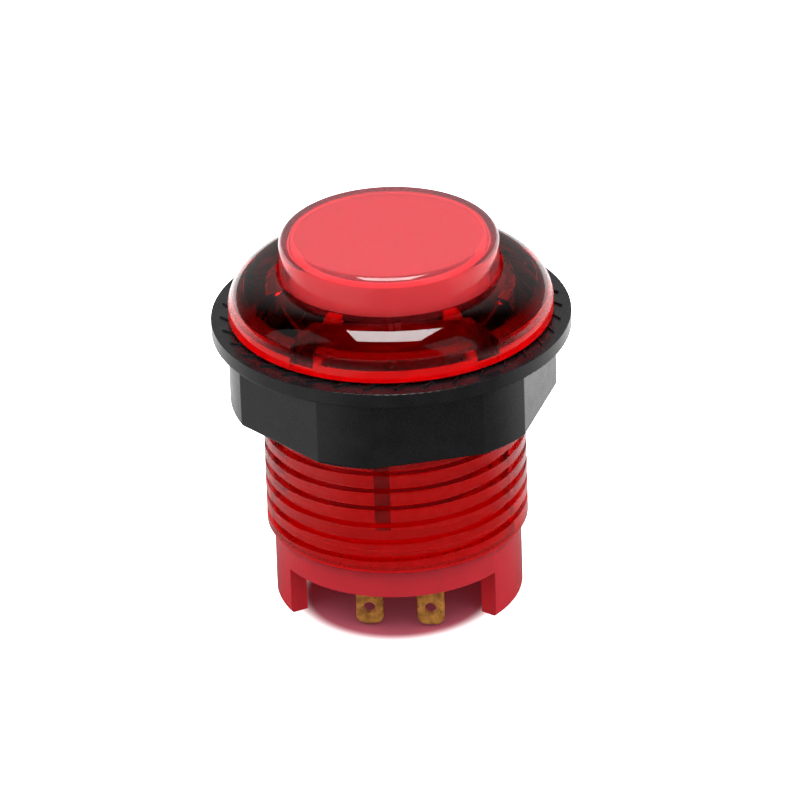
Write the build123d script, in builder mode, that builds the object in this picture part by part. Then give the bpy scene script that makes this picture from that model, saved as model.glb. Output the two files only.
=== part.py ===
from build123d import *
import os
from math import cos, degrees, pi, radians, sin

os.makedirs("parts", exist_ok=True)

# Illuminated screw-in push button, used as a quiz buzzer button.
# Millimetres, +Z up along the plunger axis. Origin: axis at the foot plane.
# The front, with the two switch tabs, faces -Y.

# ---- driving dimensions: threaded housing --------------------------------------
bezel_r = 16.5              # outside of the domed bezel
bezel_z = 31.52             # seating face under the bezel
dome_spring_z = 32.35       # where the vertical lip turns into the dome
dome_h = 4.10               # rise of the dome above that
dome_centre_r = 11.60       # radius where the dome is level
hole_r = 11.35              # hole that the cap slides in
hole_lead = 0.30            # slope from the bore to that hole
rim_round = 0.25
rim_z = dome_spring_z + dome_h
pocket_in_r = 13.95         # moulding pockets under the bezel
pocket_out_r = 15.55
pocket_top_z = 33.60
pocket_count = 5
pocket_deg = 62.0
pocket_phase = 277.0
barrel_r = 13.40            # thread crest
barrel_z = 8.35             # lower end of the barrel
barrel_chamfer = 0.05
bore_r = 11.50
keyway_w = 7.60             # keyways at the left and right of the bore
keyway_r = 12.20
keyway_top_z = 33.20
snap_z = 10.20              # snap groove in the mouth, and the base's bead
snap_groove_w = 0.70
snap_groove_d = 0.15
bead_w = 0.40
bead_h = 0.12

# ---- thread --------------------------------------------------------------------
thread_root_r = 12.80
thread_pitch = 1.96
groove_top_w = 0.80
groove_root_w = 0.44
groove_z = 8.607            # height of the lowest groove, where it begins at +X
groove_end_gap = 1.00       # from the last groove to the bezel
cutter_over_r = 0.20        # the thread cutter stands proud of the crest by this
cutter_over_w = 0.12        # and is wider there by this

# ---- lock ring and nut ---------------------------------------------------------
ring_r = 18.27              # toothed lock ring
ring_bore_r = 13.65
ring_z = 29.66
ring_t = 1.56
ring_top_round = 0.05
ring_bottom_round = 0.18
ridge_count = 36
ridge_h = 0.20
ridge_w = 0.26
ridge_outer_r = 17.30
ridge_len = 2.60
ridge_slant = 45.0          # from the radius, clockwise
ridge_phase = 6.0
ridge_draft = 12.0
ridge_root = 0.10           # how deep each ridge starts inside the ring
nut_z = 21.80
nut_top_z = 29.61
nut_corner_r = 16.64
nut_corner_round = 0.50
nut_bottom_round = 0.45
nut_apothem = 15.62
nut_phase = 48.0            # direction of the first flat's normal
nut_bore_r = 13.55
nut_thread_r = 12.95
nut_thread_w = 0.50
nut_thread_tip_w = 0.22
nut_thread_turns = 3.4
nut_thread_start = 7        # housing pitches below the nut's thread
nut_root_in = 0.15          # the thread section starts inside the nut by this
nut_root_w = 0.10           # and is wider there by this

# ---- button cap and diffuser ---------------------------------------------------
cap_r = 11.15
cap_top_z = 40.30
cap_bottom_z = 28.50
cap_wall = 1.10
cap_top_t = 1.00
cap_edge_r = 1.20
cap_inner_chamfer = 0.30
travel = 3.00
key_gap = 0.05              # lug to the keyway's closed end at rest
lug_side_gap = 0.20
lug_tip_gap = 0.20
cap_snap_h = 0.20           # rib that the stem's flange snaps over
diffuser_r = 9.95
diffuser_t = 1.10
diffuser_rim_t = 0.80
diffuser_bottom_z = 35.60
diffuser_chamfer = 0.35
diffuser_gap = 0.05

# ---- terminal base -------------------------------------------------------------
base_r = 12.66              # ring and legs
base_wall = 1.86
base_ring_z = 5.17
foot_round = 0.35
floor_z = 6.40
floor_t = 1.80
plug_r = 11.45              # plug inside the barrel
plug_wall = 1.20
plug_top_z = 12.00
sleeve_wall = 0.45          # thin sleeve that goes on up from the plug
sleeve_top_z = 23.00
slit_w = 1.50               # slits that let the sleeve spring inwards
slit_x = -0.25
slit_z = 12.60
plug_lug_h = 2.40
plug_lug_gap = 0.15
opening_half_deg = 56.0     # each opening between the legs, front and back
seat_r = 5.60               # post that the return spring stands on
seat_top_z = 11.50
lead_slot_w = 4.40
pad_z = 11.50               # top of the ledge under each switch contact
pad_in = 1.20               # how far the ledge goes in past the contact

# ---- tabs and contacts ---------------------------------------------------------
tab_w = 2.80                # flat tabs for push-on terminals
tab_t = 0.50
tab_y = 9.45
tab_bottom_z = 0.30
tab_hole_r = 0.60
tab_hole_up = 2.00          # hole centre above the tab's end
tab_corner_r = 0.90
tab_bend_round = 0.35
tab_slot_z = 3.40           # lower end of the tool that cuts the tab slots
switch_tab_x = (-2.20, 4.05)
led_tab_x = (-3.12, 3.12)
led_tab_top_z = 11.40
pad_t = 0.50
pad_side = 0.20             # the bent end is narrower than the tab by this each side
pad_reach = 2.60
contact_y = 8.30
contact_round = 0.15
rivet_r = 0.90
rivet_h = 0.40
contact_gap = travel + 0.05
tip_r = 0.80
tip_t = 0.50
bridge_t = 0.30
bridge_len = 8.80
bridge_w = 2.00
bridge_corner = 0.60
bridge_spring_len = 2.60
bridge_spring_turns = 4
bridge_wire_r = 0.14
bridge_spring_r = 0.90

# ---- stem and its arm ----------------------------------------------------------
stem_r = 7.00
stem_wall = 0.95
stem_bottom_z = 17.50
stem_flange_z = 29.60
stem_flange_t = 1.20
arm_t = 1.50
arm_y = 9.30
arm_side = 0.20             # the arm is longer than the bridge by this each end
arm_root = 0.80             # how far the arm starts inside the stem's outline
pin_r = 0.55
pin_head_r = 1.00
pin_gap = 0.10

# ---- lamp ----------------------------------------------------------------------
led_r = 2.50
led_flange_r = 2.90
led_flange_z = 24.50
led_flange_t = 1.00
led_body_z = 30.60
led_gap = 0.30              # between the lamp and the hole in the stem's flange
lead_r = 0.25
lead_x = 1.27
lead_z = 9.60               # height at which the leads cross to the tabs
lead_slot_drop = 0.60       # lead slots go below the leads by this
holder_r = 2.90
holder_flange_r = 4.00
holder_flange_t = 1.10
holder_chamfer = 0.25
driver_slot = (4.00, 0.90, 0.60)
resistor_y = 3.60
resistor_len = 3.20
resistor_face_r = 0.55
resistor_end_r = 0.80
resistor_waist_r = 0.66
resistor_end_len = 0.80
resistor_slope = 0.20
resistor_round = 0.25
joint_r = 0.85              # solder cone on the tab
joint_len = 0.70

# ---- return spring -------------------------------------------------------------
spring_r = 4.45             # mean coil radius
spring_wire_r = 0.28
spring_turns = 9


# ---- threaded housing: domed bezel and screw-thread barrel in one moulding ----
groove_path = Helix(pitch=thread_pitch, height=bezel_z - groove_end_gap - barrel_z,
                    radius=barrel_r, center=(0, 0, groove_z))

with BuildPart() as threaded_housing:
    with BuildSketch(Plane.XZ):
        with BuildLine():
            EllipticalCenterArc((dome_centre_r, dome_spring_z), bezel_r - dome_centre_r,
                                dome_h, start_angle=0, arc_size=90)
            Line((bezel_r, dome_spring_z), (bezel_r, bezel_z))
            Polyline((bezel_r, bezel_z), (barrel_r, bezel_z), (barrel_r, barrel_z + barrel_chamfer),
                     (barrel_r - barrel_chamfer, barrel_z), (bore_r, barrel_z),
                     (bore_r, keyway_top_z), (hole_r, keyway_top_z + hole_lead),
                     (hole_r, rim_z - rim_round))
            RadiusArc((hole_r, rim_z - rim_round), (dome_centre_r, rim_z), rim_round)
        make_face()
    revolve(axis=Axis.Z)
    with BuildSketch(Plane.XY.offset(barrel_z)):
        Rectangle(2 * keyway_r, keyway_w)
        Circle(bore_r, mode=Mode.SUBTRACT)
        Circle(keyway_r, mode=Mode.INTERSECT)
    extrude(amount=keyway_top_z - barrel_z, mode=Mode.SUBTRACT)
    with BuildSketch(Plane.XY.offset(bezel_z)):
        for index in range(pocket_count):
            mid = pocket_phase + index * 360 / pocket_count
            with BuildLine():
                outer = CenterArc((0, 0), pocket_out_r, mid - pocket_deg / 2, pocket_deg)
                inner = CenterArc((0, 0), pocket_in_r, mid - pocket_deg / 2, pocket_deg)
                Line(outer @ 0, inner @ 0)
                Line(outer @ 1, inner @ 1)
            make_face()
    extrude(amount=pocket_top_z - bezel_z, mode=Mode.SUBTRACT)
    # snap groove inside the mouth, for the base's bead
    with BuildSketch(Plane.XZ):
        with Locations((bore_r, snap_z)):
            Rectangle(2 * snap_groove_d, snap_groove_w)
    revolve(axis=Axis.Z, mode=Mode.SUBTRACT)
    # single-start right-hand thread
    with BuildSketch(Plane(origin=groove_path @ 0, x_dir=(1, 0, 0), z_dir=groove_path % 0)):
        with BuildLine():
            depth, wide = thread_root_r - barrel_r, groove_top_w + cutter_over_w
            Polyline((cutter_over_r, -wide / 2), (depth, -groove_root_w / 2),
                     (depth, groove_root_w / 2), (cutter_over_r, wide / 2), close=True)
        make_face()
    sweep(path=groove_path, is_frenet=True, mode=Mode.SUBTRACT)
threaded_housing.part.label = "threaded_housing"
export_step(threaded_housing.part, "parts/threaded_housing.step")

# ---- terminal base: frosted ring on two legs, slotted floor and snap-in plug ----
with BuildPart() as terminal_base:
    with BuildSketch(Plane.XZ):
        with BuildLine():
            Polyline((base_r, 0), (base_r, barrel_z), (plug_r, barrel_z),
                     (plug_r, snap_z - bead_w / 2), (plug_r + bead_h, snap_z),
                     (plug_r, snap_z + bead_w / 2), (plug_r, sleeve_top_z),
                     (plug_r - sleeve_wall, sleeve_top_z), (plug_r - sleeve_wall, plug_top_z),
                     (plug_r - plug_wall, plug_top_z), (plug_r - plug_wall, floor_z + floor_t),
                     (0, floor_z + floor_t), (0, floor_z), (base_r - base_wall, floor_z),
                     (base_r - base_wall, 0), close=True)
        make_face()
    revolve(axis=Axis.Z)
    # openings between the legs, front and back
    with BuildSketch(Plane.XY):
        for mid in (270, 90):
            with BuildLine():
                arc = CenterArc((0, 0), base_r + 1, mid - opening_half_deg, 2 * opening_half_deg)
                Line((0, 0), arc @ 0)
                Line((0, 0), arc @ 1)
            make_face()
    extrude(amount=base_ring_z, mode=Mode.SUBTRACT)
    # slits in the sleeve, front and back
    with BuildSketch(Plane.XY.offset(slit_z)):
        with Locations((slit_x, 0)):
            Rectangle(slit_w, 2 * plug_r + 1)
        Circle(plug_r - plug_wall, mode=Mode.SUBTRACT)
    extrude(amount=sleeve_top_z - slit_z, mode=Mode.SUBTRACT)
    # lugs that key the plug into the barrel
    with BuildSketch(Plane.XY.offset(barrel_z)):
        Rectangle(2 * keyway_r, keyway_w - 2 * plug_lug_gap)
        Circle(plug_r - plug_wall, mode=Mode.SUBTRACT)
        Circle(keyway_r - plug_lug_gap, mode=Mode.INTERSECT)
    extrude(amount=plug_lug_h)
    # spring seat: a post round the lamp holder, open at the back for the leads
    with BuildSketch(Plane.XY.offset(floor_z + floor_t)):
        Circle(seat_r)
        Circle(holder_r, mode=Mode.SUBTRACT)
        with Locations((0, seat_r / 2 + 1)):
            Rectangle(lead_slot_w, seat_r + 2, mode=Mode.SUBTRACT)
    extrude(amount=seat_top_z - floor_z - floor_t)
    # ledges under the switch contacts
    pad_back, pad_front = tab_y - tab_t / 2, contact_y - pad_in
    with BuildSketch(Plane.XY.offset(floor_z + floor_t)):
        with Locations(*[(x, -(pad_back + pad_front) / 2) for x in switch_tab_x]):
            Rectangle(tab_w, pad_back - pad_front)
    extrude(amount=pad_z - floor_z - floor_t)
    # bore for the lamp holder and slots for the four tabs
    with Locations((0, 0, floor_z)):
        Cylinder(holder_r, floor_t, align=(Align.CENTER, Align.CENTER, Align.MIN),
                 mode=Mode.SUBTRACT)
    with Locations(*[(x, -tab_y, tab_slot_z) for x in switch_tab_x],
                   *[(x, tab_y, tab_slot_z) for x in led_tab_x]):
        Box(tab_w, tab_t, plug_top_z - tab_slot_z, mode=Mode.SUBTRACT,
            align=(Align.CENTER, Align.CENTER, Align.MIN))
    with Locations(*[(x, -tab_y, pad_z) for x in switch_tab_x]):
        Box(tab_w, 2 * pad_reach, pad_t, mode=Mode.SUBTRACT,
            align=(Align.CENTER, Align.CENTER, Align.MIN))
    fillet(terminal_base.edges().filter_by(GeomType.CIRCLE).group_by(Axis.Z)[0]
           .filter_by(lambda edge: abs(edge.radius - base_r) < 0.01), radius=foot_round)
terminal_base.part.label = "terminal_base"
export_step(terminal_base.part, "parts/terminal_base.step")


# ---- push-on tabs ----
def tab_sketch(x, top):
    """Face of a flat tab, rounded at its lower corners, with its hole."""
    with BuildSketch(Plane.XZ) as face:
        with Locations((x, tab_bottom_z)):
            Rectangle(tab_w, top - tab_bottom_z, align=(Align.CENTER, Align.MIN))
        fillet(face.vertices().group_by(Axis.Z)[0], radius=tab_corner_r)
        with Locations((x, tab_bottom_z + tab_hole_up)):
            Circle(tab_hole_r, mode=Mode.SUBTRACT)
    return face.sketch


for label, x in zip(("switch_tab_left", "switch_tab_right"), switch_tab_x):
    with BuildPart() as switch_tab:
        with BuildSketch(Plane.XZ.offset(tab_y - tab_t / 2)):
            add(tab_sketch(x, pad_z + pad_t))
        extrude(amount=tab_t)
        with Locations((x, -tab_y + tab_t / 2, pad_z)):
            Box(tab_w - 2 * pad_side, pad_reach, pad_t,
                align=(Align.CENTER, Align.MIN, Align.MIN))
        fillet(switch_tab.edges().filter_by(Axis.X).group_by(Axis.Z)[-1].sort_by(Axis.Y)[0],
               radius=tab_bend_round)
    switch_tab.part.label = label
    export_step(switch_tab.part, f"parts/{label}.step")

for label, x in zip(("lamp_tab_left", "lamp_tab_right"), led_tab_x):
    with BuildPart() as lamp_tab:
        with BuildSketch(Plane.XZ.offset(-tab_y - tab_t / 2)):
            add(tab_sketch(x, led_tab_top_z))
        extrude(amount=tab_t)
    lamp_tab.part.label = label
    export_step(lamp_tab.part, f"parts/{label}.step")

contact_mid_x = (switch_tab_x[0] + switch_tab_x[1]) / 2
rivet_z = pad_z + pad_t

with BuildPart() as fixed_contacts:
    with Locations(*[(x, -contact_y, rivet_z) for x in switch_tab_x]):
        Cylinder(rivet_r, rivet_h, align=(Align.CENTER, Align.CENTER, Align.MIN))
    fillet(fixed_contacts.edges().group_by(Axis.Z)[-1], radius=contact_round)
fixed_contacts.part.label = "fixed_contacts"
export_step(fixed_contacts.part, "parts/fixed_contacts.step")

# ---- lamp: holder pushed in from below, LED, leads, resistor and solder ----
with BuildPart() as lamp_holder:
    with Locations((0, 0, floor_z - holder_flange_t)):
        Cylinder(holder_flange_r, holder_flange_t, align=(Align.CENTER, Align.CENTER, Align.MIN))
    with Locations((0, 0, floor_z)):
        Cylinder(holder_r, led_flange_z - floor_z, align=(Align.CENTER, Align.CENTER, Align.MIN))
    with Locations(*[(x, -lead_r, lead_z - lead_slot_drop) for x in (-lead_x, lead_x)]):
        Box(2 * lead_r, holder_r + 1, led_flange_z, mode=Mode.SUBTRACT,
            align=(Align.CENTER, Align.MIN, Align.MIN))
    with Locations((0, 0, floor_z - holder_flange_t)):
        Box(*driver_slot, mode=Mode.SUBTRACT, align=(Align.CENTER, Align.CENTER, Align.MIN))
    chamfer(lamp_holder.edges().filter_by(GeomType.CIRCLE).group_by(Axis.Z)[0],
            length=holder_chamfer)
lamp_holder.part.label = "lamp_holder"
export_step(lamp_holder.part, "parts/lamp_holder.step")

with BuildPart() as lamp:
    with BuildSketch(Plane.XZ):
        with BuildLine():
            Polyline((0, led_body_z + led_r), (0, led_flange_z), (led_flange_r, led_flange_z),
                     (led_flange_r, led_flange_z + led_flange_t),
                     (led_r, led_flange_z + led_flange_t), (led_r, led_body_z))
            RadiusArc((led_r, led_body_z), (0, led_body_z + led_r), -led_r)
        make_face()
    revolve(axis=Axis.Z)
lamp.part.label = "lamp"
export_step(lamp.part, "parts/lamp.step")

tab_face_y = tab_y - tab_t / 2
lead_routes = (
    [(lead_x, 0, led_flange_z), (lead_x, 0, lead_z), (lead_x, 6.0, lead_z),
     (led_tab_x[1], 7.9, lead_z), (led_tab_x[1], tab_face_y, lead_z)],
    [(-lead_x, 0, led_flange_z), (-lead_x, 0, lead_z), (-lead_x, resistor_y, lead_z)],
    [(-lead_x, resistor_y + resistor_len, lead_z), (-lead_x, resistor_y + resistor_len + 0.5, lead_z),
     (led_tab_x[0], 8.3, lead_z), (led_tab_x[0], tab_face_y, lead_z)],
)
with BuildPart() as lamp_leads:
    for route, bend in zip(lead_routes, (0.5, 0.5, 0.25)):
        with BuildLine() as wire:
            FilletPolyline(*route, radius=bend)
        with BuildSketch(Plane(origin=wire.line @ 0, z_dir=wire.line % 0)):
            Circle(lead_r)
        sweep(path=wire.line)
lamp_leads.part.label = "lamp_leads"
export_step(lamp_leads.part, "parts/lamp_leads.step")

with BuildPart() as resistor:
    with BuildSketch(Plane.XY.offset(lead_z)):
        with BuildLine():
            axis_x, near, far = -lead_x, resistor_y, resistor_y + resistor_len
            face_x, end_x, waist_x = (axis_x + radius for radius in
                                      (resistor_face_r, resistor_end_r, resistor_waist_r))
            near_end, far_end = near + resistor_end_len, far - resistor_end_len
            Polyline((axis_x, near), (face_x, near), (end_x, near + resistor_round),
                     (end_x, near_end), (waist_x, near_end + resistor_slope),
                     (waist_x, far_end - resistor_slope), (end_x, far_end),
                     (end_x, far - resistor_round), (face_x, far), (axis_x, far), close=True)
        make_face()
    revolve(axis=Axis((-lead_x, 0, lead_z), (0, 1, 0)))
resistor.part.label = "resistor"
export_step(resistor.part, "parts/resistor.step")

with BuildPart() as solder_joints:
    for x in led_tab_x:
        with BuildSketch(Plane.XY.offset(lead_z)):
            with BuildLine():
                tip, foot = (x + lead_r, tab_face_y - joint_len), (x + joint_r, tab_face_y)
                Polyline(tip, (x + lead_r, tab_face_y), foot)
                ThreePointArc(foot, (x + joint_r / 2, tab_face_y - joint_len / 3), tip)
            make_face()
        revolve(axis=Axis((x, 0, lead_z), (0, 1, 0)))
solder_joints.part.label = "solder_joints"
export_step(solder_joints.part, "parts/solder_joints.step")

# ---- plunger: cap, diffuser, stem, moving contact and its spring ----
with BuildPart() as button_cap:
    with BuildSketch(Plane.XZ):
        with BuildLine():
            inner_r, cap_under_z = cap_r - cap_wall, cap_top_z - cap_top_t
            Polyline((0, cap_under_z), (0, cap_top_z), (cap_r - cap_edge_r, cap_top_z))
            RadiusArc((cap_r - cap_edge_r, cap_top_z), (cap_r, cap_top_z - cap_edge_r), cap_edge_r)
            Polyline((cap_r, cap_top_z - cap_edge_r), (cap_r, cap_bottom_z), (inner_r, cap_bottom_z),
                     (inner_r, stem_flange_z - 3 * cap_snap_h),
                     (inner_r - cap_snap_h, stem_flange_z - cap_snap_h),
                     (inner_r - cap_snap_h, stem_flange_z), (inner_r, stem_flange_z),
                     (inner_r, cap_under_z - cap_inner_chamfer),
                     (inner_r - cap_inner_chamfer, cap_under_z), (0, cap_under_z))
        make_face()
    revolve(axis=Axis.Z)
    with BuildSketch(Plane.XY.offset(cap_bottom_z)):
        Rectangle(2 * keyway_r, keyway_w - 2 * lug_side_gap)
        Circle((cap_r + inner_r) / 2, mode=Mode.SUBTRACT)
        Circle(keyway_r - lug_tip_gap, mode=Mode.INTERSECT)
    extrude(amount=keyway_top_z - key_gap - cap_bottom_z)
button_cap.part.label = "button_cap"
export_step(button_cap.part, "parts/button_cap.step")

with BuildPart() as cap_diffuser:
    with BuildSketch(Plane.XZ):
        with BuildLine():
            top = cap_under_z - diffuser_gap
            Polyline((0, top), (diffuser_r - diffuser_chamfer, top),
                     (diffuser_r, top - diffuser_chamfer), (diffuser_r, diffuser_bottom_z),
                     (diffuser_r - diffuser_rim_t, diffuser_bottom_z),
                     (diffuser_r - diffuser_rim_t, top - diffuser_t), (0, top - diffuser_t),
                     close=True)
        make_face()
    revolve(axis=Axis.Z)
cap_diffuser.part.label = "cap_diffuser"
export_step(cap_diffuser.part, "parts/cap_diffuser.step")

tip_z = rivet_z + rivet_h + contact_gap
bridge_z = tip_z + tip_t
arm_z = bridge_z + bridge_t + bridge_spring_len
with BuildPart() as plunger_stem:
    with BuildSketch(Plane.XY.offset(stem_bottom_z)):
        Circle(stem_r)
        Circle(stem_r - stem_wall, mode=Mode.SUBTRACT)
    extrude(amount=stem_flange_z - stem_bottom_z)
    with BuildSketch(Plane.XY.offset(stem_flange_z)):
        Circle(cap_r - cap_wall)
        Circle(led_flange_r + led_gap, mode=Mode.SUBTRACT)
    extrude(amount=stem_flange_t)
    # arm that carries the moving contact
    with BuildSketch(Plane.XY.offset(arm_z)):
        with Locations((contact_mid_x, -arm_y)):
            Rectangle(bridge_len + 2 * arm_side, arm_y - stem_r + arm_root,
                      align=(Align.CENTER, Align.MIN))
        Circle(stem_r - stem_wall / 2, mode=Mode.SUBTRACT)
    extrude(amount=arm_t)
    # guide pin with its head under the contact bridge
    with Locations((contact_mid_x, -contact_y, arm_z)):
        Cylinder(pin_r, bridge_spring_len + bridge_t,
                 align=(Align.CENTER, Align.CENTER, Align.MAX))
    with Locations((contact_mid_x, -contact_y, bridge_z)):
        Cylinder(pin_head_r, tip_t, align=(Align.CENTER, Align.CENTER, Align.MAX))
plunger_stem.part.label = "plunger_stem"
export_step(plunger_stem.part, "parts/plunger_stem.step")

with BuildPart() as contact_bridge:
    with BuildSketch(Plane.XY.offset(bridge_z)):
        with Locations((contact_mid_x, -contact_y)):
            RectangleRounded(bridge_len, bridge_w, bridge_corner)
            Circle(pin_r + pin_gap, mode=Mode.SUBTRACT)
    extrude(amount=bridge_t)
contact_bridge.part.label = "contact_bridge"
export_step(contact_bridge.part, "parts/contact_bridge.step")

with BuildPart() as contact_tips:
    with Locations(*[(x, -contact_y, tip_z) for x in switch_tab_x]):
        Cylinder(tip_r, tip_t, align=(Align.CENTER, Align.CENTER, Align.MIN))
    fillet(contact_tips.edges().group_by(Axis.Z)[0], radius=contact_round)
contact_tips.part.label = "contact_tips"
export_step(contact_tips.part, "parts/contact_tips.step")


def coil(low, high, turns, radius, wire_r):
    """Path of a spring whose wire just touches the planes low and high."""
    height = high - low - 2 * wire_r
    return Helix(pitch=height / turns, height=height, radius=radius, center=(0, 0, low + wire_r))


with BuildPart() as bridge_spring:
    path = coil(0, bridge_spring_len, bridge_spring_turns, bridge_spring_r, bridge_wire_r)
    with BuildSketch(Plane(origin=path @ 0, z_dir=path % 0)):
        Circle(bridge_wire_r)
    sweep(path=path, is_frenet=True)
bridge_spring_part = bridge_spring.part.moved(
    Location((contact_mid_x, -contact_y, bridge_z + bridge_t)))
bridge_spring_part.label = "bridge_spring"
export_step(bridge_spring_part, "parts/bridge_spring.step")

with BuildPart() as return_spring:
    path = coil(seat_top_z, stem_flange_z, spring_turns, spring_r, spring_wire_r)
    with BuildSketch(Plane(origin=path @ 0, z_dir=path % 0)):
        Circle(spring_wire_r)
    sweep(path=path, is_frenet=True)
return_spring.part.label = "return_spring"
export_step(return_spring.part, "parts/return_spring.step")

# ---- lock ring with slanted teeth, and the hexagonal nut that carries it ----
ridge_places = []
for index in range(ridge_count):
    around = radians(ridge_phase + index * 360 / ridge_count)
    along = around + pi - radians(ridge_slant)
    ridge_places.append(Location((ridge_outer_r * cos(around) + ridge_len / 2 * cos(along),
                                  ridge_outer_r * sin(around) + ridge_len / 2 * sin(along), 0),
                                 (0, 0, degrees(along))))
with BuildPart() as lock_ring:
    with BuildSketch(Plane.XY.offset(ring_z)):
        Circle(ring_r)
        Circle(ring_bore_r, mode=Mode.SUBTRACT)
    extrude(amount=ring_t)
    rims = lock_ring.edges().filter_by(GeomType.CIRCLE).sort_by(SortBy.RADIUS)[-2:]
    fillet(rims.sort_by(Axis.Z)[0], radius=ring_bottom_round)
    fillet(rims.sort_by(Axis.Z)[-1], radius=ring_top_round)
    with BuildSketch(Plane.XY.offset(ring_z + ring_t - ridge_root)):
        with Locations(ridge_places):
            Rectangle(ridge_len, ridge_w)
    extrude(amount=ridge_h + ridge_root, taper=ridge_draft)
lock_ring.part.label = "lock_ring"
export_step(lock_ring.part, "parts/lock_ring.step")

nut_path = Helix(pitch=thread_pitch, height=nut_thread_turns * thread_pitch, radius=nut_bore_r,
                 center=(0, 0, groove_z + nut_thread_start * thread_pitch))
with BuildPart() as lock_nut:
    with BuildSketch(Plane.XY.offset(nut_z)):
        RegularPolygon(nut_apothem, 6, major_radius=False, rotation=nut_phase - 30)
        Circle(nut_corner_r, mode=Mode.INTERSECT)
    extrude(amount=nut_top_z - nut_z)
    fillet(lock_nut.edges().filter_by(Axis.Z), radius=nut_corner_round)
    fillet(lock_nut.edges().group_by(Axis.Z)[0], radius=nut_bottom_round)
    with BuildSketch(Plane.XY.offset(nut_z)):
        Circle(nut_bore_r)
    extrude(amount=nut_top_z - nut_z, mode=Mode.SUBTRACT)
    with BuildSketch(Plane(origin=nut_path @ 0, x_dir=(1, 0, 0), z_dir=nut_path % 0)):
        with BuildLine():
            depth, wide = nut_thread_r - nut_bore_r, nut_thread_w + nut_root_w
            Polyline((nut_root_in, -wide / 2), (depth, -nut_thread_tip_w / 2),
                     (depth, nut_thread_tip_w / 2), (nut_root_in, wide / 2), close=True)
        make_face()
    sweep(path=nut_path, is_frenet=True)
lock_nut.part.label = "lock_nut"
export_step(lock_nut.part, "parts/lock_nut.step")
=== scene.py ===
import math

import bmesh
import bpy
from mathutils import Matrix, Vector


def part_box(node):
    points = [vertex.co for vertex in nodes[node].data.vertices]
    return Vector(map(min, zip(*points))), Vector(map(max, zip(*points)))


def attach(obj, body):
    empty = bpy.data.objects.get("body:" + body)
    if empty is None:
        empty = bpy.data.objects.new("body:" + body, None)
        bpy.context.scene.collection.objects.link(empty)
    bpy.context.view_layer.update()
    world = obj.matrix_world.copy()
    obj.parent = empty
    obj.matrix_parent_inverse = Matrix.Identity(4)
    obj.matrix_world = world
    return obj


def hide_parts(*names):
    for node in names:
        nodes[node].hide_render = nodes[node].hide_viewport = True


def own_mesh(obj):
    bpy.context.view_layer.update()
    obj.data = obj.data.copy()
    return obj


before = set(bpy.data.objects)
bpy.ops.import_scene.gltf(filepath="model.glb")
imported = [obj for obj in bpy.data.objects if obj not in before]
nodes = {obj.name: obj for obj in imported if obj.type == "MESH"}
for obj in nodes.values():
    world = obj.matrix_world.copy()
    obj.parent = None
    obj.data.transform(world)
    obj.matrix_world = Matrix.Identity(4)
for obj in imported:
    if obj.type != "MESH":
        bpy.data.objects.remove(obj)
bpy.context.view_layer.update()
scene = bpy.context.scene
MM = 0.001


# ---- node helpers ------------------------------------------------------------
class Look:
    """A node material: its Principled shader, and short ways to add texture to it."""

    def __init__(self, name, **values):
        self.material = bpy.data.materials.new(name)
        self.material.use_nodes = True
        self.tree = self.material.node_tree
        self.shader = self.tree.nodes["Principled BSDF"]
        self.output = self.tree.nodes["Material Output"]
        self.place = self.tree.nodes.new("ShaderNodeTexCoord").outputs["Object"]
        self.height = None
        for socket, value in values.items():
            self.shader.inputs[socket.replace("_", " ")].default_value = value

    def link(self, output, target):
        self.tree.links.new(output, target)

    def node(self, kind, **settings):
        made = self.tree.nodes.new(kind)
        for name, value in settings.items():
            if hasattr(made, name):
                setattr(made, name, value)
            else:
                made.inputs[name.replace("_", " ")].default_value = value
        return made

    def noise(self, cells_per_mm, detail=3.0, stretch=(1, 1, 1), seed=0.0):
        """Noise with its grain size given in cells for each millimetre."""
        mapping = self.node("ShaderNodeMapping")
        mapping.inputs["Location"].default_value = (seed, seed * 0.7, seed * 1.3)
        mapping.inputs["Scale"].default_value = stretch
        self.link(self.place, mapping.inputs["Vector"])
        made = self.node("ShaderNodeTexNoise", Scale=cells_per_mm / MM, Detail=detail)
        self.link(mapping.outputs["Vector"], made.inputs["Vector"])
        return made.outputs["Fac"]

    def ramp(self, fac, low, high, low_at=0.3, high_at=0.7):
        """Colour or value that goes from low to high as fac does."""
        made = self.node("ShaderNodeValToRGB")
        stops = made.color_ramp.elements
        stops[0].position, stops[1].position = low_at, high_at
        stops[0].color = (*low, 1) if isinstance(low, tuple) else (low, low, low, 1)
        stops[1].color = (*high, 1) if isinstance(high, tuple) else (high, high, high, 1)
        self.link(fac, made.inputs["Fac"])
        return made.outputs["Color"]

    def colour(self, output):
        self.link(output, self.shader.inputs["Base Color"])

    def rough(self, output):
        self.link(output, self.shader.inputs["Roughness"])

    def bump(self, fac, distance_mm, strength=1.0):
        """Adds a layer of relief, given as its depth in millimetres."""
        made = self.node("ShaderNodeBump", Strength=strength, Distance=distance_mm * MM)
        self.link(fac, made.inputs["Height"])
        if self.height is not None:
            self.link(self.height, made.inputs["Normal"])
        self.height = made.outputs["Normal"]
        self.link(self.height, self.shader.inputs["Normal"])

    def absorb(self, colour, per_mm):
        """Tinted clear plastic: light that crosses the wall takes this colour."""
        volume = self.node("ShaderNodeVolumeAbsorption", Density=per_mm / MM)
        volume.inputs["Color"].default_value = (*colour, 1)
        self.link(volume.outputs["Volume"], self.output.inputs["Volume"])


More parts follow.
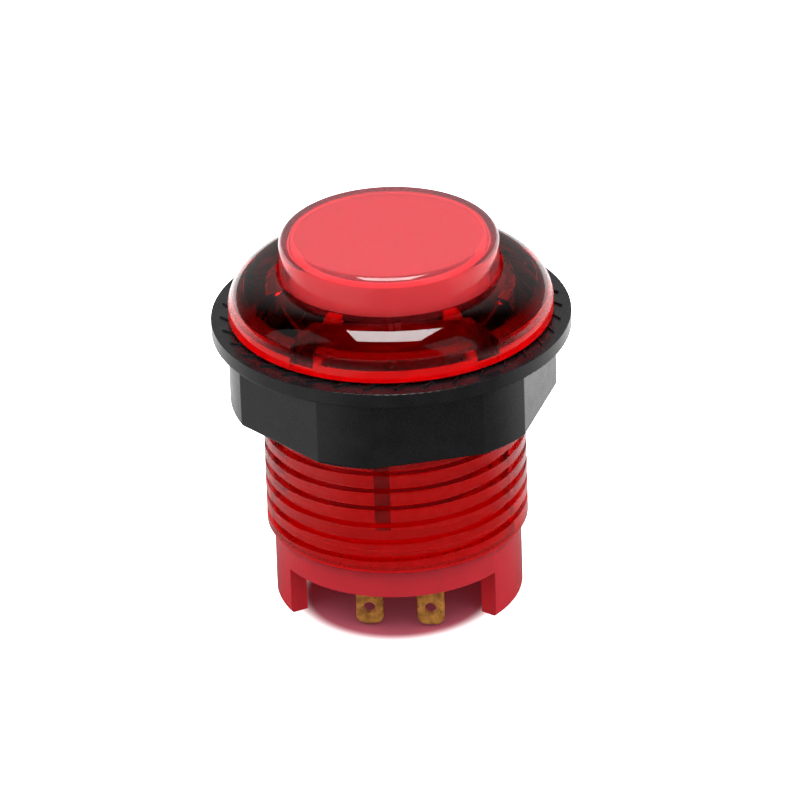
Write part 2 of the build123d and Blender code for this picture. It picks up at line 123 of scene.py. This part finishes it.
# ---- optical pieces: finer meshes of the clear mouldings ------------------------
# Millimetres, as in the CAD. Each moulding is a cross-section carried round the axis, column by
# column, so that ribs, pockets and the thread are real geometry with smooth walls.
BEZEL_R, BEZEL_Z = 16.50, 31.52
DOME_Z, DOME_H, DOME_TOP_R = 32.35, 4.10, 11.60
HOLE_R, RIM_Z, RIM_ROUND = 11.35, 36.45, 0.25
BARREL_R, THREAD_ROOT_R, BARREL_Z, BARREL_CHAMFER = 13.40, 12.80, 8.35, 0.05
PITCH, GROOVE_Z, GROOVE_TURNS = 1.96, 8.607, 11.3
GROOVE_HALF_TOP, GROOVE_HALF_ROOT = 0.40, 0.22
CREST_ROUND, ROOT_ROUND = 0.13, 0.07
FADE_IN, FADE_OUT = 0.40, 0.05  # turns over which the groove starts and ends
BORE_R, KEYWAY_R, KEYWAY_HALF, KEYWAY_TOP = 11.50, 12.20, 3.80, 33.20
POCKET_IN, POCKET_OUT, POCKET_TOP = 13.95, 15.55, 33.60
POCKETS, POCKET_HALF, POCKET_PHASE = 5, 31.0, 277.0
POCKET_ROUND, BEZEL_CHAMFER, HOLE_LIP = 0.15, 0.12, 0.30
LIP_Z = 32.55
COLUMN_STEP, SMOOTH_BELOW = 1.25, 32  # degrees
SLEEVE_INSIDE, SKIRT_TOP, SLEEVE_TOP = 11.00, 12.60, 23.00
SLIT_X, SLIT_HALF = -0.25, 0.75
CAP_R, CAP_TOP, CAP_BOTTOM, CAP_WALL, CAP_TOP_T, CAP_EDGE = 11.15, 40.30, 28.50, 1.10, 1.00, 1.20
CAP_CLIP_T, CAP_CLIP_Z, CAP_FILLET = 0.20, (29.0, 29.4, 29.6), 0.30
LUG_R, LUG_HALF, LUG_TOP = 12.00, 3.60, 33.15


def arc(centre, radius_r, radius_z, start, end, steps):
    """Points of an elliptical arc in the cross-section, angles in degrees."""
    turns = [math.radians(start + (end - start) * i / steps) for i in range(steps + 1)]
    return [(centre[0] + radius_r * math.cos(t), centre[1] + radius_z * math.sin(t)) for t in turns]


def straight(start, end, steps):
    """Points between two ends, without the first."""
    return [(start[0] + (end[0] - start[0]) * i / steps, start[1] + (end[1] - start[1]) * i / steps)
            for i in range(1, steps + 1)]


def key_radius(angle, plain, wide, half):
    """Radius of a round wall that two flat-sided keys, at the left and right, widen."""
    across = abs(math.sin(math.radians(angle)))
    return max(plain, min(wide, half / max(across, 1e-6)))


def key_angles(plain, wide, half):
    """Angles at which such a wall changes direction."""
    offsets = [math.degrees(math.asin(half / r)) for r in (plain, wide)]
    return [middle + side * offset for middle in (0, 180) for side in (-1, 1) for offset in offsets]


def smooth_step(value):
    value = min(1.0, max(0.0, value))
    return value * value * (3 - 2 * value)


def groove_depth(offset):
    """Depth of the groove at a distance from its middle: root, fillet, flank, crest round."""
    full = BARREL_R - THREAD_ROOT_R
    slope = full / (GROOVE_HALF_TOP - GROOVE_HALF_ROOT)
    tilt = math.atan(slope)
    crest_start = GROOVE_HALF_TOP + CREST_ROUND * math.tan(tilt / 2)
    crest_end = crest_start - CREST_ROUND * math.sin(tilt)
    root_start = GROOVE_HALF_ROOT - ROOT_ROUND * math.tan(tilt / 2)
    root_end = root_start + ROOT_ROUND * math.sin(tilt)
    if offset >= crest_start:
        return 0.0
    if offset > crest_end:
        return CREST_ROUND - math.sqrt(CREST_ROUND ** 2 - (crest_start - offset) ** 2)
    if offset > root_end:
        return (GROOVE_HALF_TOP - offset) * slope
    if offset > root_start:
        return full - ROOT_ROUND + math.sqrt(ROOT_ROUND ** 2 - (offset - root_start) ** 2)
    return full


def thread_radius(angle, z):
    """Radius of the threaded barrel at an angle in degrees and a height."""
    turn = round((z - GROOVE_Z) / PITCH - angle / 360) + angle / 360
    offset = abs(z - GROOVE_Z - turn * PITCH)
    depth = smooth_step(turn / FADE_IN) * smooth_step((GROOVE_TURNS - turn) / FADE_OUT)
    return BARREL_R - depth * groove_depth(offset)


def mesh_from_columns(name, columns):
    """Joins cross-sections, each a list of (radius, z) at its angle, into one closed mesh."""
    mesh = bpy.data.meshes.new(name)
    grid = bmesh.new()
    rows = len(columns[0][1])
    verts = []
    for angle, section in columns:
        c, s = math.cos(math.radians(angle)), math.sin(math.radians(angle))
        verts.append([grid.verts.new((r * c * MM, r * s * MM, z * MM)) for r, z in section])
    for left, right_side in zip(verts, verts[1:]):
        for i in range(rows):
            j = (i + 1) % rows
            grid.faces.new((left[i], right_side[i], right_side[j], left[j]))
    bmesh.ops.remove_doubles(grid, verts=grid.verts, dist=2e-7)
    bmesh.ops.dissolve_degenerate(grid, dist=1e-7, edges=grid.edges)
    bmesh.ops.recalc_face_normals(grid, faces=grid.faces)
    grid.to_mesh(mesh)
    grid.free()
    for polygon in mesh.polygons:
        polygon.use_smooth = True
    mesh.set_sharp_from_angle(angle=math.radians(SMOOTH_BELOW))
    piece = bpy.data.objects.new(name, mesh)
    scene.collection.objects.link(piece)
    return piece


def column_angles(extra):
    regular = [i * COLUMN_STEP for i in range(round(360 / COLUMN_STEP))]
    every = sorted(set(regular + [round(angle % 360, 6) for angle in extra]))
    return every + [360.0]


def pocket_edges():
    return [(POCKET_PHASE + i * 360 / POCKETS + side * POCKET_HALF) % 360
            for i in range(POCKETS) for side in (-1, 1)]


def in_pocket(angle):
    for i in range(POCKETS):
        away = (angle - POCKET_PHASE - i * 360 / POCKETS + 180) % 360 - 180
        if abs(away) < POCKET_HALF:
            return True
    return False


def housing_section(angle, pocket):
    """Closed cross-section: dome, hole, bore, end face, thread, underside with its pocket."""
    bore = key_radius(angle, BORE_R, KEYWAY_R, KEYWAY_HALF)
    points = arc((DOME_TOP_R, DOME_Z), BEZEL_R - DOME_TOP_R, DOME_H, 0, 90, 36)
    points += arc((DOME_TOP_R, RIM_Z - RIM_ROUND), DOME_TOP_R - HOLE_R, RIM_ROUND, 90, 180, 6)[1:]
    points += straight((HOLE_R, RIM_Z - RIM_ROUND), (HOLE_R, KEYWAY_TOP + HOLE_LIP), 1)
    points += [(BORE_R, KEYWAY_TOP), (bore, KEYWAY_TOP), (bore, SLEEVE_TOP), (bore, SKIRT_TOP),
               (bore, BARREL_Z)]
    points += [(BARREL_R - BARREL_CHAMFER, BARREL_Z)]
    one_side = (0.165, 0.19, 0.208, 0.222, 0.235, 0.30, 0.372, 0.383, 0.398, 0.418, 0.442, 0.468,
                0.497, 0.62)
    rows_per_turn = (-0.98, *(-step for step in reversed(one_side)), 0, *one_side)
    low, high = BARREL_Z + BARREL_CHAMFER, BEZEL_Z
    for turn in range(-2, int(GROOVE_TURNS) + 2):
        for offset in rows_per_turn:
            z = min(high, max(low, GROOVE_Z + (turn + angle / 360) * PITCH + offset))
            points.append((thread_radius(angle, z), z))
    top = POCKET_TOP if pocket else BEZEL_Z
    soft = POCKET_ROUND if pocket else 0.0
    points += [(BARREL_R, BEZEL_Z), (POCKET_IN, BEZEL_Z), (POCKET_IN, top - soft),
               (POCKET_IN + soft, top), (POCKET_OUT - soft, top), (POCKET_OUT, top - soft),
               (POCKET_OUT, min(top, LIP_Z)), (POCKET_OUT, BEZEL_Z),
               (BEZEL_R - BEZEL_CHAMFER, BEZEL_Z), (BEZEL_R, BEZEL_Z + BEZEL_CHAMFER)]
    return points


def make_housing():
    keys = key_angles(BORE_R, KEYWAY_R, KEYWAY_HALF)
    columns = []
    edges = [round(angle, 6) for angle in pocket_edges()]
    for angle in column_angles(keys + edges):
        before, after = in_pocket(angle - 0.01), in_pocket(angle + 0.01)
        columns.append((angle, housing_section(angle, before)))
        if before != after:
            columns.append((angle, housing_section(angle, after)))
    piece = mesh_from_columns("clear_housing", columns)
    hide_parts("threaded_housing")
    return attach(piece, "housing")


def cap_section(angle):
    """Cross-section of the cap, from the axis out over the top and back under it."""
    lug = key_radius(angle, CAP_R, LUG_R, LUG_HALF)
    inner = CAP_R - CAP_WALL
    under = CAP_TOP - CAP_TOP_T
    points = [(0, CAP_TOP)] + straight((0, CAP_TOP), (CAP_R - CAP_EDGE, CAP_TOP), 6)
    points += arc((CAP_R - CAP_EDGE, CAP_TOP - CAP_EDGE), CAP_EDGE, CAP_EDGE, 90, 0, 12)[1:]
    points += [(CAP_R, LUG_TOP), (lug, LUG_TOP), (lug, CAP_BOTTOM), (inner, CAP_BOTTOM)]
    clip = inner - CAP_CLIP_T
    points += [(inner, CAP_CLIP_Z[0]), (clip, CAP_CLIP_Z[1]), (clip, CAP_CLIP_Z[2]),
               (inner, CAP_CLIP_Z[2])]
    points += arc((inner - CAP_FILLET, under - CAP_FILLET), CAP_FILLET, CAP_FILLET, 0, 90, 6)
    points += straight((inner - CAP_FILLET, under), (0, under), 4)
    return points


def make_cap():
    angles = column_angles(key_angles(CAP_R, LUG_R, LUG_HALF))
    piece = mesh_from_columns("clear_cap", [(angle, cap_section(angle)) for angle in angles])
    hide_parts("button_cap")
    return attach(piece, "plunger")


def make_spring():
    """Open coil round the axis, at one fixed length."""
    mean_r, wire_r, low, high, turns, per_turn, sides = 4.45, 0.28, 11.50, 29.60, 9, 28, 10
    steps = turns * per_turn
    rise = high - low - 2 * wire_r
    grid = bmesh.new()
    rings = []
    for i in range(steps + 1):
        turn = 2 * math.pi * i / per_turn
        c, s = math.cos(turn), math.sin(turn)
        mid_z = low + wire_r + rise * i / steps
        ring = []
        for k in range(sides):
            around = 2 * math.pi * k / sides
            r = mean_r + wire_r * math.cos(around)
            ring.append(grid.verts.new((r * c * MM, r * s * MM,
                                        (mid_z + wire_r * math.sin(around)) * MM)))
        rings.append(ring)
    for here, there in zip(rings, rings[1:]):
        for k in range(sides):
            j = (k + 1) % sides
            grid.faces.new((here[k], there[k], there[j], here[j]))
    grid.faces.new(rings[0])
    grid.faces.new(rings[-1])
    bmesh.ops.recalc_face_normals(grid, faces=grid.faces)
    mesh = bpy.data.meshes.new("coil")
    grid.to_mesh(mesh)
    grid.free()
    for polygon in mesh.polygons:
        polygon.use_smooth = len(polygon.vertices) == 4
    piece = bpy.data.objects.new("coil", mesh)
    scene.collection.objects.link(piece)
    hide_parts("return_spring")
    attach(piece, "housing")
    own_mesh(piece)
    return piece


housing, cap, coil = make_housing(), make_cap(), make_spring()

# ---- materials ---------------------------------------------------------------
CLEAR_RED = (0.91, 0.0, 0.05)


def clear_plastic(name, low_rough, high_rough, per_mm, grain_mm, tooled_rough=0.0,
                  tint=(1.0, 1.0, 1.0), clear=1.0):
    """Glossy tinted plastic with faint flow marks and handling haze, rougher where tooled."""
    look = Look(name, Base_Color=(*tint, 1), Transmission_Weight=clear, IOR=1.49)
    rough = look.ramp(look.noise(0.35, 4.0, seed=1.0), low_rough, high_rough)
    if tooled_rough:
        tooled = look.node("ShaderNodeAttribute", attribute_name="tooled")
        both = look.node("ShaderNodeMath", operation="MULTIPLY_ADD")
        look.link(tooled.outputs["Fac"], both.inputs[0])
        both.inputs[1].default_value = tooled_rough
        look.link(rough, both.inputs[2])
        rough = both.outputs["Value"]
    look.rough(rough)
    look.bump(look.noise(0.12, 2.0, seed=3.0), grain_mm)
    look.absorb(CLEAR_RED, per_mm)
    return look.material


def matte_plastic(name, low, high, glow=0.0):
    """Red that light does not pass: tooled faces, a painted shade over the sleeve's slits, and a
    painted glow for the barrel's end.
    """
    look = Look(name, Specular_IOR_Level=0.1)
    look.colour(look.ramp(look.noise(0.8, 4.0), low, high))
    look.rough(look.ramp(look.noise(0.8, 4.0, seed=2.0), 0.45, 0.60))
    look.shader.inputs["Emission Color"].default_value = (1.0, 0.004, 0.01, 1)
    look.shader.inputs["Emission Strength"].default_value = glow
    look.bump(look.noise(8.0, 3.0), 0.004)
    return look.material


def frosted_plastic():
    """The same plastic with a spark-eroded mould finish."""
    look = Look("frosted_red", Base_Color=(0.86, 0.045, 0.065, 1), Transmission_Weight=0.62,
                IOR=1.49)
    look.rough(look.ramp(look.noise(1.2, 4.0), 0.10, 0.18))
    look.bump(look.noise(9.0, 3.0), 0.003)
    look.absorb(CLEAR_RED, 0.5)
    return look.material


def sleeve_plastic():
    """Spark-eroded outside of the plug's sleeve, seen through the barrel."""
    look = Look("sleeve_red", Specular_IOR_Level=0.3)
    look.colour(look.ramp(look.noise(1.0, 4.0), (0.95, 0.02, 0.02), (0.99, 0.04, 0.04)))
    look.rough(look.ramp(look.noise(3.0, 3.0), 0.30, 0.50))
    look.bump(look.noise(10.0, 2.0), 0.008)
    return look.material


def black_plastic():
    look = Look("black_plastic")
    look.colour(look.ramp(look.noise(0.5, 3.0), (0.003, 0.0028, 0.0033), (0.006, 0.0056, 0.0066)))
    look.rough(look.ramp(look.noise(0.8, 5.0, seed=2.0), 0.22, 0.30))
    look.bump(look.noise(5.0, 2.0), 0.0015)
    return look.material


def white_plastic(name, colour, rough):
    look = Look(name, Subsurface_Weight=0.15, Subsurface_Scale=0.4 * MM)
    dim = tuple(0.93 * value for value in colour)
    look.colour(look.ramp(look.noise(0.4, 3.0), dim, colour))
    look.rough(look.ramp(look.noise(1.0, 4.0, seed=5.0), rough, rough + 0.12))
    look.bump(look.noise(6.0, 2.0), 0.003)
    return look.material


def lamp_epoxy():
    look = Look("lamp_epoxy", Base_Color=(1, 1, 1, 1), Transmission_Weight=1.0, IOR=1.53)
    look.rough(look.ramp(look.noise(0.8, 3.0), 0.02, 0.08))
    look.bump(look.noise(0.5, 2.0), 0.004)
    return look.material


def brass(name, clean, dull):
    """Stamped sheet with tarnish in patches and fine rolling lines."""
    look = Look(name, Metallic=0.60)
    look.colour(look.ramp(look.noise(1.1, 5.0, seed=4.0), dull, clean, 0.35, 0.62))
    look.rough(look.ramp(look.noise(2.0, 4.0, seed=6.0), 0.25, 0.42))
    look.bump(look.noise(3.0, 2.0, stretch=(5, 1, 1)), 0.0015)
    return look.material


def metal(name, colour, low_rough, high_rough, grain):
    look = Look(name, Metallic=1.0)
    dim = tuple(0.8 * value for value in colour)
    look.colour(look.ramp(look.noise(1.5, 4.0), dim, colour))
    look.rough(look.ramp(look.noise(3.0, 4.0, seed=2.0), low_rough, high_rough))
    look.bump(look.noise(grain, 3.0), 0.004)
    return look.material


def resistor_body():
    """Beige lacquer with four colour bands round the body."""
    look = Look("resistor_body")
    split = look.node("ShaderNodeSeparateXYZ")
    look.link(look.place, split.inputs["Vector"])
    low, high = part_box("resistor")
    along = look.node("ShaderNodeMapRange", From_Min=low.y, From_Max=high.y)
    look.link(split.outputs["Y"], along.inputs["Value"])
    made = look.node("ShaderNodeValToRGB")
    made.color_ramp.interpolation = "CONSTANT"
    lacquer = (0.62, 0.47, 0.27, 1)
    bands = ((0.14, (0.75, 0.12, 0.02, 1)), (0.34, (0.25, 0.09, 0.03, 1)),
             (0.52, (0.02, 0.02, 0.02, 1)), (0.78, (0.60, 0.42, 0.12, 1)))
    made.color_ramp.elements[0].color = lacquer
    made.color_ramp.elements[1].position = 0.999
    made.color_ramp.elements[1].color = lacquer
    for start, colour in bands:
        made.color_ramp.elements.new(start).color = colour
        made.color_ramp.elements.new(start + 0.08).color = lacquer
    look.link(along.outputs["Result"], made.inputs["Fac"])
    look.colour(made.outputs["Color"])
    look.rough(look.ramp(look.noise(2.0), 0.25, 0.4))
    look.bump(look.noise(4.0), 0.003)
    return look.material


LOOKS = {
    "threaded_housing": clear_plastic("clear_red", 0.0, 0.03, 1.0, 0.004, tooled_rough=0.25),
    "button_cap": clear_plastic("cap_red", 0.0, 0.03, 0.85, 0.003, tint=(1.0, 0.32, 0.37),
                                clear=0.93),
    "plunger_stem": clear_plastic("stem_red", 0.05, 0.16, 1.0, 0.006, tint=(0.95, 0.02, 0.02),
                                  clear=0.55),
    "terminal_base": frosted_plastic(),
    # painted shade: the diffuser's flat faces get a darker white than its edge
    "cap_diffuser": white_plastic("white_diffuser", (0.47, 0.45, 0.45), 0.35),
    "lamp": lamp_epoxy(),
    "lock_ring": black_plastic(),
    "resistor": resistor_body(),
}
LOOKS["lock_nut"] = LOOKS["lamp_holder"] = LOOKS["lock_ring"]
tab_brass = brass("tab_brass", (0.84, 0.36, 0.08), (0.45, 0.17, 0.035))
for name in ("switch_tab_left", "switch_tab_right", "lamp_tab_left", "lamp_tab_right"):
    LOOKS[name] = tab_brass
LOOKS["contact_bridge"] = brass("spring_brass", (0.84, 0.60, 0.27), (0.60, 0.40, 0.17))
contact_silver = metal("contact_silver", (0.86, 0.85, 0.82), 0.15, 0.35, 5.0)
for name in ("fixed_contacts", "contact_tips"):
    LOOKS[name] = contact_silver
spring_steel = metal("spring_steel", (0.62, 0.62, 0.64), 0.18, 0.32, 6.0)
for name in ("return_spring", "bridge_spring"):
    LOOKS[name] = spring_steel
LOOKS["lamp_leads"] = metal("lead_steel", (0.72, 0.72, 0.70), 0.20, 0.38, 6.0)
LOOKS["solder_joints"] = metal("solder", (0.66, 0.67, 0.69), 0.18, 0.42, 2.0)
for name, material in LOOKS.items():
    nodes[name].data.materials.clear()
    nodes[name].data.materials.append(material)
base = nodes["terminal_base"]
base.data.materials.append(sleeve_plastic())
for polygon in base.data.polygons:
    reach = math.hypot(polygon.center.x, polygon.center.y) / MM
    if polygon.center.z / MM > BARREL_Z + 0.01 and reach > SLEEVE_INSIDE - 0.02:
        polygon.material_index = 1
disc = nodes["cap_diffuser"]  # painted light and shade: its edge is given a brighter white than its flat faces, to even out how the light falls on them
disc.data.materials.append(white_plastic("diffuser_edge_painted_light", (0.96, 0.95, 0.95), 0.35))
for polygon in disc.data.polygons:
    if polygon.normal.z < 0.9:
        polygon.material_index = 1
cap.data.materials.append(LOOKS["button_cap"])
coil.data.materials.append(spring_steel)


MATTE_DIM, MATTE_BRIGHT = (0.78, 0.002, 0.006), (0.90, 0.004, 0.010)
# painted shade: the dark red on the next line is painted on the bore over the sleeve's slits, in
# place of the shade inside them
SLIT_SHADE_DIM, SLIT_SHADE_BRIGHT = (0.32, 0.0, 0.002), (0.50, 0.0, 0.004)
END_GLOW = 0.15  # stands for the light that the frosted ring passes up into the barrel
MATTE, SLIT, END = 1, 2, 3


def finish_housing():
    """Polished outside, satin pockets, matte seat, lip and skirt, a painted shade over the slits
    and a painted glow at the end.
    """
    for material in (LOOKS["threaded_housing"],
                     matte_plastic("lip_red", MATTE_DIM, MATTE_BRIGHT),
                     matte_plastic("slit_painted_shade", SLIT_SHADE_DIM, SLIT_SHADE_BRIGHT),
                     matte_plastic("end_red_painted_glow", MATTE_DIM, MATTE_BRIGHT, END_GLOW)):
        housing.data.materials.append(material)
    tooled = housing.data.attributes.new("tooled", "FLOAT", "FACE")
    for polygon in housing.data.polygons:
        x, y, z = polygon.center / MM
        r = math.hypot(x, y)
        seat = abs(z - BEZEL_Z) < 0.02 and r > POCKET_IN
        wall = r > POCKET_OUT - 0.02 and BEZEL_Z < z < LIP_Z and r < BEZEL_R - 0.02
        bore = r < KEYWAY_R + 0.1
        skirt = bore and z < SKIRT_TOP
        # painted glow: the barrel's end face gets the red that glows, standing for light passed up
        # from the frosted ring
        if z < BARREL_Z + 0.04:
            polygon.material_index = END
        elif seat or wall or skirt:
            polygon.material_index = MATTE
        # painted shade: bore faces in front of the sleeve's slits get the dark red slit material
        elif bore and SKIRT_TOP < z < SLEEVE_TOP and abs(x - SLIT_X) < SLIT_HALF:
            polygon.material_index = SLIT
        elif BARREL_R + 0.1 < r < BEZEL_R - 0.02 and BEZEL_Z - 0.02 < z < POCKET_TOP + 0.05:
            tooled.data[polygon.index].value = 1.0


finish_housing()


# ---- floor, world and lights ---------------------------------------------------
def sheet_of_floor(name, height):
    half = 3.0
    mesh = bpy.data.meshes.new(name)
    mesh.from_pydata([(-half, -half, height), (half, -half, height), (half, half, height),
                      (-half, half, height)], [], [(0, 1, 2, 3)])
    floor = bpy.data.objects.new(name, mesh)
    scene.collection.objects.link(floor)
    return floor


# painted shadow: round the feet the floor loses its glow and takes a dark red, the red standing for
# light passed through the plastic
SHADE_RADIUS, SHADE_SHIFT, SHADE_RED = 12.5 * MM, 0.16, (0.34, 0.075, 0.105)
# painted light and shade on the table: a dark front, a pale back, and glowing patches at the back
# right and on the left
TABLE_SHADED_FRONT, TABLE_LIT_BACK, PATCH_GLOW, LEFT_GLOW = 0.05, 0.45, 0.45, 0.36


def make_floor():
    """The white floor that the camera sees: bright, with a painted soft contact shade at the feet
    whose red tint is painted light passed through the plastic.
    """
    floor = sheet_of_floor("floor", 0.0)
    for rays in ("visible_diffuse", "visible_glossy", "visible_transmission", "visible_shadow"):
        setattr(floor, rays, False)
    look = Look("floor_white", Roughness=1.0)
    look.shader.inputs["Specular IOR Level"].default_value = 0.0
    look.shader.inputs["Emission Color"].default_value = (1, 1, 1, 1)
    shade = look.node("ShaderNodeMapping")
    shade.inputs["Location"].default_value = (0, SHADE_SHIFT, 0)
    shade.inputs["Scale"].default_value = (1 / SHADE_RADIUS, 1 / SHADE_RADIUS, 1)
    look.link(look.place, shade.inputs["Vector"])
    reach = look.node("ShaderNodeVectorMath", operation="LENGTH")
    look.link(shade.outputs["Vector"], reach.inputs[0])
    glow = look.node("ShaderNodeMapRange", interpolation_type="SMOOTHSTEP", From_Min=0.72,
                     From_Max=0.95, To_Min=0.0, To_Max=1.0)
    look.link(reach.outputs["Value"], glow.inputs["Value"])
    look.colour(look.ramp(glow.outputs["Result"], SHADE_RED, (0.9, 0.9, 0.9), 0.0, 1.0))
    look.link(glow.outputs["Result"], look.shader.inputs["Emission Strength"])
    floor.data.materials.append(look.material)


def make_table():
    """What the object stands on for every other ray: grey, with painted shade in front, painted
    light behind, and painted glowing patches at the back right and on the left.
    """
    table = sheet_of_floor("table", -0.05 * MM)
    table.visible_camera = False
    look = Look("table_grey_painted_light_and_shade", Roughness=1.0)
    look.shader.inputs["Specular IOR Level"].default_value = 0.0
    split = look.node("ShaderNodeSeparateXYZ")
    look.link(look.place, split.inputs["Vector"])
    away = look.node("ShaderNodeMapRange", interpolation_type="SMOOTHSTEP", From_Min=-0.02,
                     From_Max=0.10)
    look.link(split.outputs["Y"], away.inputs["Value"])
    look.colour(look.ramp(away.outputs["Result"], TABLE_SHADED_FRONT, TABLE_LIT_BACK, 0.0, 1.0))
    corner = look.node("ShaderNodeVectorMath", operation="DOT_PRODUCT")
    look.link(look.place, corner.inputs[0])
    corner.inputs[1].default_value = (0.6, 0.8, 0)
    near_edge = look.node("ShaderNodeMapRange", interpolation_type="SMOOTHSTEP", From_Min=0.015,
                          From_Max=0.04, To_Max=PATCH_GLOW)
    look.link(corner.outputs["Value"], near_edge.inputs["Value"])
    far_edge = look.node("ShaderNodeMapRange", interpolation_type="SMOOTHSTEP", From_Min=0.10,
                         From_Max=0.07)
    look.link(corner.outputs["Value"], far_edge.inputs["Value"])
    glow = look.node("ShaderNodeMath", operation="MULTIPLY")
    look.link(near_edge.outputs["Result"], glow.inputs[0])
    look.link(far_edge.outputs["Result"], glow.inputs[1])
    left_side = look.node("ShaderNodeMapRange", interpolation_type="SMOOTHSTEP", From_Min=-0.015,
                          From_Max=-0.045, To_Max=LEFT_GLOW)
    look.link(split.outputs["X"], left_side.inputs["Value"])
    both = look.node("ShaderNodeMath", operation="ADD")
    look.link(glow.outputs["Value"], both.inputs[0])
    look.link(left_side.outputs["Result"], both.inputs[1])
    look.shader.inputs["Emission Color"].default_value = (1, 1, 1, 1)
    look.link(both.outputs["Value"], look.shader.inputs["Emission Strength"])
    table.data.materials.append(look.material)


BACKDROP_LOW, BACKDROP_HIGH = 0.008, 0.38
FRONT_FILL, SIDE_FILL = 1.9, 3.4


def make_world():
    """White for the camera, a dark studio with a pale backdrop for reflections, and a fill."""
    world = bpy.data.worlds.new("studio")
    scene.world = world
    world.use_nodes = True
    tree = world.node_tree
    sky = tree.nodes["Background"]
    sky.inputs["Color"].default_value = (1, 1, 1, 1)
    place = tree.nodes.new("ShaderNodeTexCoord")
    split = tree.nodes.new("ShaderNodeSeparateXYZ")
    tree.links.new(place.outputs["Generated"], split.inputs["Vector"])
    behind = tree.nodes.new("ShaderNodeMapRange")
    behind.interpolation_type = "SMOOTHSTEP"
    behind.inputs["From Min"].default_value = 0.35
    behind.inputs["From Max"].default_value = 0.85
    behind.inputs["To Min"].default_value = BACKDROP_LOW
    behind.inputs["To Max"].default_value = BACKDROP_HIGH
    tree.links.new(split.outputs["Y"], behind.inputs["Value"])
    below = tree.nodes.new("ShaderNodeMapRange")
    below.interpolation_type = "SMOOTHSTEP"
    below.inputs["From Min"].default_value = 0.85
    below.inputs["From Max"].default_value = 0.72
    tree.links.new(split.outputs["Z"], below.inputs["Value"])
    strength = tree.nodes.new("ShaderNodeMath")
    strength.operation = "MULTIPLY"
    tree.links.new(behind.outputs["Result"], strength.inputs[0])
    tree.links.new(below.outputs["Result"], strength.inputs[1])
    rays = tree.nodes.new("ShaderNodeLightPath")
    seen = tree.nodes.new("ShaderNodeMath")
    seen.operation = "MAXIMUM"
    tree.links.new(rays.outputs["Is Camera Ray"], seen.inputs[0])
    tree.links.new(strength.outputs["Value"], seen.inputs[1])
    fill = tree.nodes.new("ShaderNodeMath")
    fill.operation = "MULTIPLY"
    around = tree.nodes.new("ShaderNodeMapRange")
    around.inputs["From Min"].default_value = -0.9
    around.inputs["From Max"].default_value = 0.1
    around.inputs["To Min"].default_value = FRONT_FILL
    around.inputs["To Max"].default_value = SIDE_FILL
    tree.links.new(split.outputs["Y"], around.inputs["Value"])
    tree.links.new(around.outputs["Result"], fill.inputs[1])
    once = tree.nodes.new("ShaderNodeMath")
    once.operation = "MINIMUM"
    once.inputs[1].default_value = 1.0
    tree.links.new(rays.outputs["Diffuse Depth"], once.inputs[0])
    tree.links.new(once.outputs["Value"], fill.inputs[0])
    total = tree.nodes.new("ShaderNodeMath")
    total.operation = "MAXIMUM"
    tree.links.new(seen.outputs["Value"], total.inputs[0])
    tree.links.new(fill.outputs["Value"], total.inputs[1])
    tree.links.new(total.outputs["Value"], sky.inputs["Strength"])


def softbox(name, azimuth, elevation, distance, size, radiance):
    """Area light round the object. Azimuth 0 is the front and 90 the right; size is in degrees."""
    light = bpy.data.lights.new(name, "AREA")
    light.shape = "RECTANGLE"
    light.size = 2 * distance * math.tan(math.radians(size[0] / 2))
    light.size_y = 2 * distance * math.tan(math.radians(size[1] / 2))
    light.energy = radiance * math.pi * light.size * light.size_y
    around, up = math.radians(azimuth), math.radians(elevation)
    away = Vector((math.sin(around) * math.cos(up), -math.cos(around) * math.cos(up), math.sin(up)))
    lamp = bpy.data.objects.new(name, light)
    lamp.location = Vector((0, 0, 0.03)) + away * distance
    lamp.rotation_euler = away.to_track_quat("Z", "Y").to_euler()
    scene.collection.objects.link(lamp)


make_floor()
make_table()
make_world()
softbox("overhead", 180, 89, 0.6, (29, 28), 12.5)
softbox("side_left", -79, 36, 0.6, (24, 48), 0.36)
softbox("side_right", 56, 36, 0.6, (24, 48), 0.36)
scene.view_settings.view_transform = "Standard"
scene.cycles.max_bounces = 40
scene.cycles.transmission_bounces = 36
scene.cycles.glossy_bounces = 24
scene.cycles.diffuse_bounces = 5

# ---- camera ------------------------------------------------------------------
CAMERA_AZIMUTH = math.radians(6.0)
CAMERA_ELEVATION = math.radians(27.582)
CAMERA_ROLL = math.radians(-1.901)
CAMERA_DISTANCE = 740.664 * MM
AIM_RIGHT, AIM_HEIGHT = 0.606 * MM, 21.068 * MM
CAMERA_LENS, CAMERA_SENSOR = 327.35, 36.0

back = Vector((math.sin(CAMERA_AZIMUTH) * math.cos(CAMERA_ELEVATION),
               -math.cos(CAMERA_AZIMUTH) * math.cos(CAMERA_ELEVATION),
               math.sin(CAMERA_ELEVATION)))
right = Vector((math.cos(CAMERA_AZIMUTH), math.sin(CAMERA_AZIMUTH), 0))
up = back.cross(right)
rolled_right = right * math.cos(CAMERA_ROLL) + up * math.sin(CAMERA_ROLL)
rolled_up = up * math.cos(CAMERA_ROLL) - right * math.sin(CAMERA_ROLL)
aim = right * AIM_RIGHT + Vector((0, 0, AIM_HEIGHT))
camera_data = bpy.data.cameras.new("camera")
camera_data.lens = CAMERA_LENS
camera_data.sensor_width = CAMERA_SENSOR
camera_data.clip_start, camera_data.clip_end = 0.01, 20.0
camera = bpy.data.objects.new("camera", camera_data)
camera.matrix_world = Matrix.Translation(aim + back * CAMERA_DISTANCE) @ Matrix(
    (rolled_right, rolled_up, back)).transposed().to_4x4()
scene.collection.objects.link(camera)
scene.camera = camera
